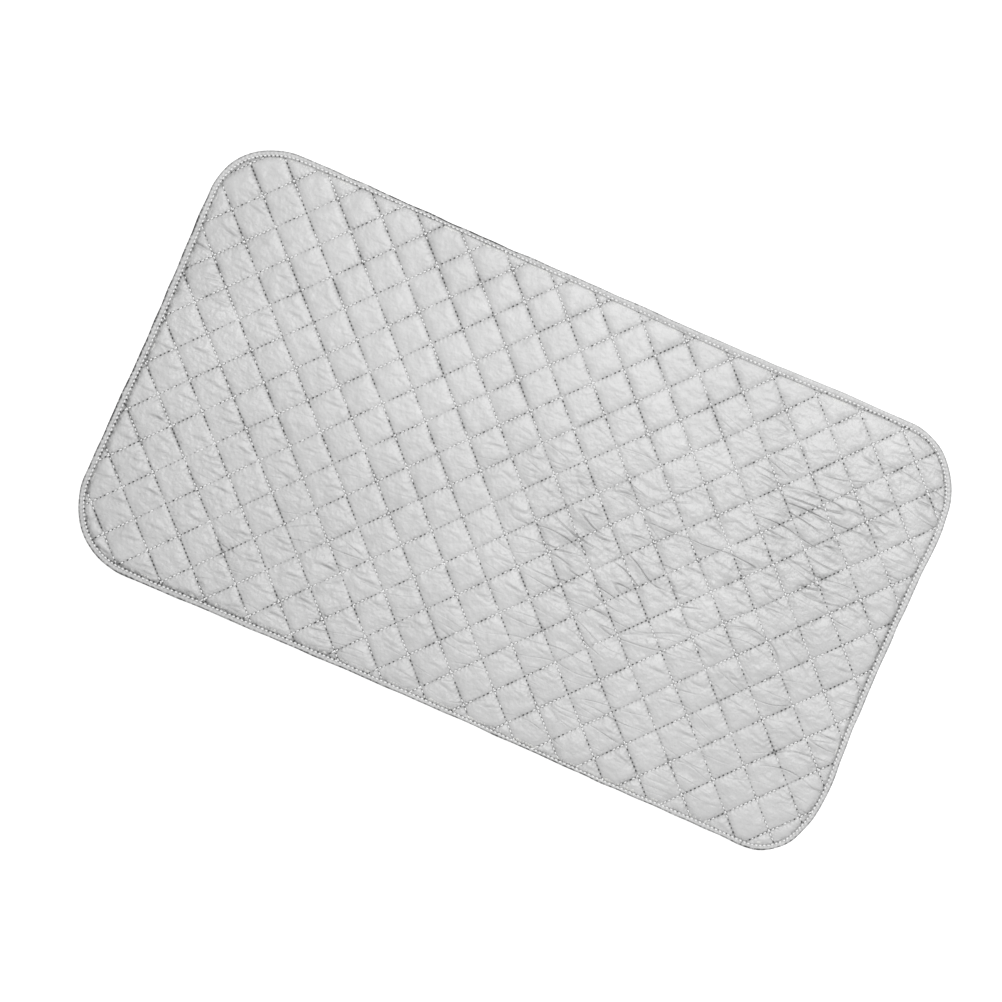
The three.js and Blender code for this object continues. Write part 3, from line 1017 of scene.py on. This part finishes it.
turn = on_binding("MULTIPLY_ADD", sewing_axes["Z"], -0.5, sewing_axes["X"])
turn = on_binding("SUBTRACT", on_binding("FRACT", turn), 0.5)
off = sewing_axes["Y"]
hole = hole_mark(binding_cotton, on_binding("SUBTRACT", off, hole_offset),
                 on_binding("MULTIPLY", turn, stitch_pitch))
which = add_node(binding_cotton, "CombineXYZ", {"X": on_binding("ROUND", sewing_axes["X"])})
chance = add_node(binding_cotton, "TexWhiteNoise", {"Vector": which.outputs["Vector"]})
chance = on_binding("POWER", chance.outputs["Value"], 1.6)
dark = on_binding("MULTIPLY", hole, on_binding("MULTIPLY_ADD", chance, 1.3, 0.1))
dark = on_binding("MULTIPLY", dark, marked(binding_cotton, "hole_shading"))
line = hill(binding_cotton, off, binding_line_reach)
shade = on_binding("MULTIPLY_ADD", line, binding_line_darkness, dark)
shade = with_painted_shade(binding_cotton, shade, 0.003)
pucker = on_binding("COSINE", on_binding("MULTIPLY", turn, 2 * math.pi))
pucker = on_binding("MULTIPLY", pucker, hill(binding_cotton, off, binding_pucker_reach))
height = on_binding("MULTIPLY_ADD", pucker, binding_pucker_height, height)
height = on_binding("MULTIPLY_ADD", hole, -hole_depth, height)
finish_cloth(binding_cotton, shader, darkened(binding_cotton, colour, shade), height)
binding.data.materials.append(binding_cotton)

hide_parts("binding_rear", "binding_front")
bend_at_fold(binding)


# The binding stitches
# The same thread, in one row near the strip's inner edge, through the binding and the layers.
upper_stitch_sink = 0.0006
upper_stitch_width = 0.0017
upper_stitch_unevenness = (-0.0003, 0.0006)
under_stitch_height = 0.0004
fine_step = 0.0004

fine_places, fine_ways, fine_lengths, _ = edge_walk(fine_step)


def along_edge(lengths, inset):
    """The places at these lengths round the edge, this far in from it."""
    at = [np.interp(lengths, fine_lengths, fine_places[:, i], period=rim_around) for i in (0, 1)]
    way = [np.interp(lengths, fine_lengths, fine_ways[:, i], period=rim_around) for i in (0, 1)]
    return at[0] - way[0] * inset, at[1] - way[1] * inset


for name, height, side, width in (
    ("binding_stitches_face", binding_top + binding_thickness / 2 - upper_stitch_sink, 1,
     upper_stitch_width),
    ("binding_stitches_under", under_stitch_height, -1, under_thread_width),
):
    middles = (np.arange(stitch_count) + (0.5 if side > 0 else 0)) * rim_around / stitch_count
    lengths = middles[:, None] + stitch_rows * stitch_pitch * stitch_share / 2
    extra = np.interp(lengths, rim_lengths, widening, period=rim_around) if side > 0 else 0
    extra = extra * widened_share(binding_stitch_inset)
    x, y = along_edge(lengths, binding_stitch_inset + extra)
    z = height + side * (thread_stand - thread_sink * stitch_rows**4) * np.ones_like(x)
    if side > 0:
        draw = np.random.default_rng(37)
        z = z + draw.uniform(*upper_stitch_unevenness, (stitch_count, 1))
        z = z - drift(x, y, sunk_places)
    normals = np.tile((0.0, 0.0, float(side)), (stitch_count, 1))
    piece = stitch_row(name, np.stack([x, y, z], -1), normals, width)
    piece.data.materials.append(white_thread)
    bend_at_fold(piece)


# The table, the light and the camera
# The pad lies on a plain white table under soft light from behind, and the camera looks almost
# straight down on it.
table_mesh = bpy.data.meshes.new("table")
table_half = 20.0
table_top = -0.0002
table_mesh.from_pydata(
    [(-table_half, -table_half, table_top), (table_half, -table_half, table_top),
     (table_half, table_half, table_top), (-table_half, table_half, table_top)],
    [], [(0, 1, 2, 3)],
)
table = bpy.data.objects.new("table", table_mesh)
bpy.context.scene.collection.objects.link(table)
table_white, shader = new_material("table_white")
shader.inputs["Base Color"].default_value = (0.65, 0.65, 0.65, 1)
shader.inputs["Roughness"].default_value = 1.0
shader.inputs["Specular IOR Level"].default_value = 0.0
shader.inputs["Emission Color"].default_value = (1, 1, 1, 1)


def seen_plainly(surroundings):
    """1 where the camera, a gloss or a clear thing looks at the surroundings, and 0 where they
    only light the pad."""
    rays = add_node(surroundings, "LightPath").outputs
    seen = reckon(surroundings, "MAXIMUM", rays["Is Camera Ray"], rays["Is Glossy Ray"])
    return reckon(surroundings, "MAXIMUM", seen, rays["Is Transmission Ray"])


glow = reckon(table_white, "MULTIPLY", seen_plainly(table_white), 0.65)
link(table_white, glow, shader.inputs["Emission Strength"])
table_mesh.materials.append(table_white)

world = bpy.data.worlds.new("studio")
bpy.context.scene.world = world
world.use_nodes = True
backdrop = world.node_tree.nodes["Background"]
ambient = 0.745
strength = reckon(world, "MULTIPLY_ADD", seen_plainly(world), 1 - ambient, ambient)
link(world, strength, backdrop.inputs["Strength"])
backdrop.inputs["Color"].default_value = (1, 1, 1, 1)

key_light = bpy.data.lights.new("key_light", "AREA")
key_light.shape = "DISK"
key_light.size = 1.6
key_light.energy = 22
key = bpy.data.objects.new("key_light", key_light)
key.location = (0.30, 1.15, 2.20)
key.rotation_euler = (-key.location).to_track_quat("-Z", "Y").to_euler()
bpy.context.scene.collection.objects.link(key)

camera_data = bpy.data.cameras.new("camera")
camera_data.sensor_width = 36
camera_data.lens = 51.1
camera = bpy.data.objects.new("camera", camera_data)
camera.location = (-0.0125, -0.0089, 1.5)
camera.rotation_euler = (0, 0, math.radians(23.69))
bpy.context.scene.collection.objects.link(camera)
bpy.context.scene.camera = camera
bpy.context.scene.view_settings.view_transform = "Standard"
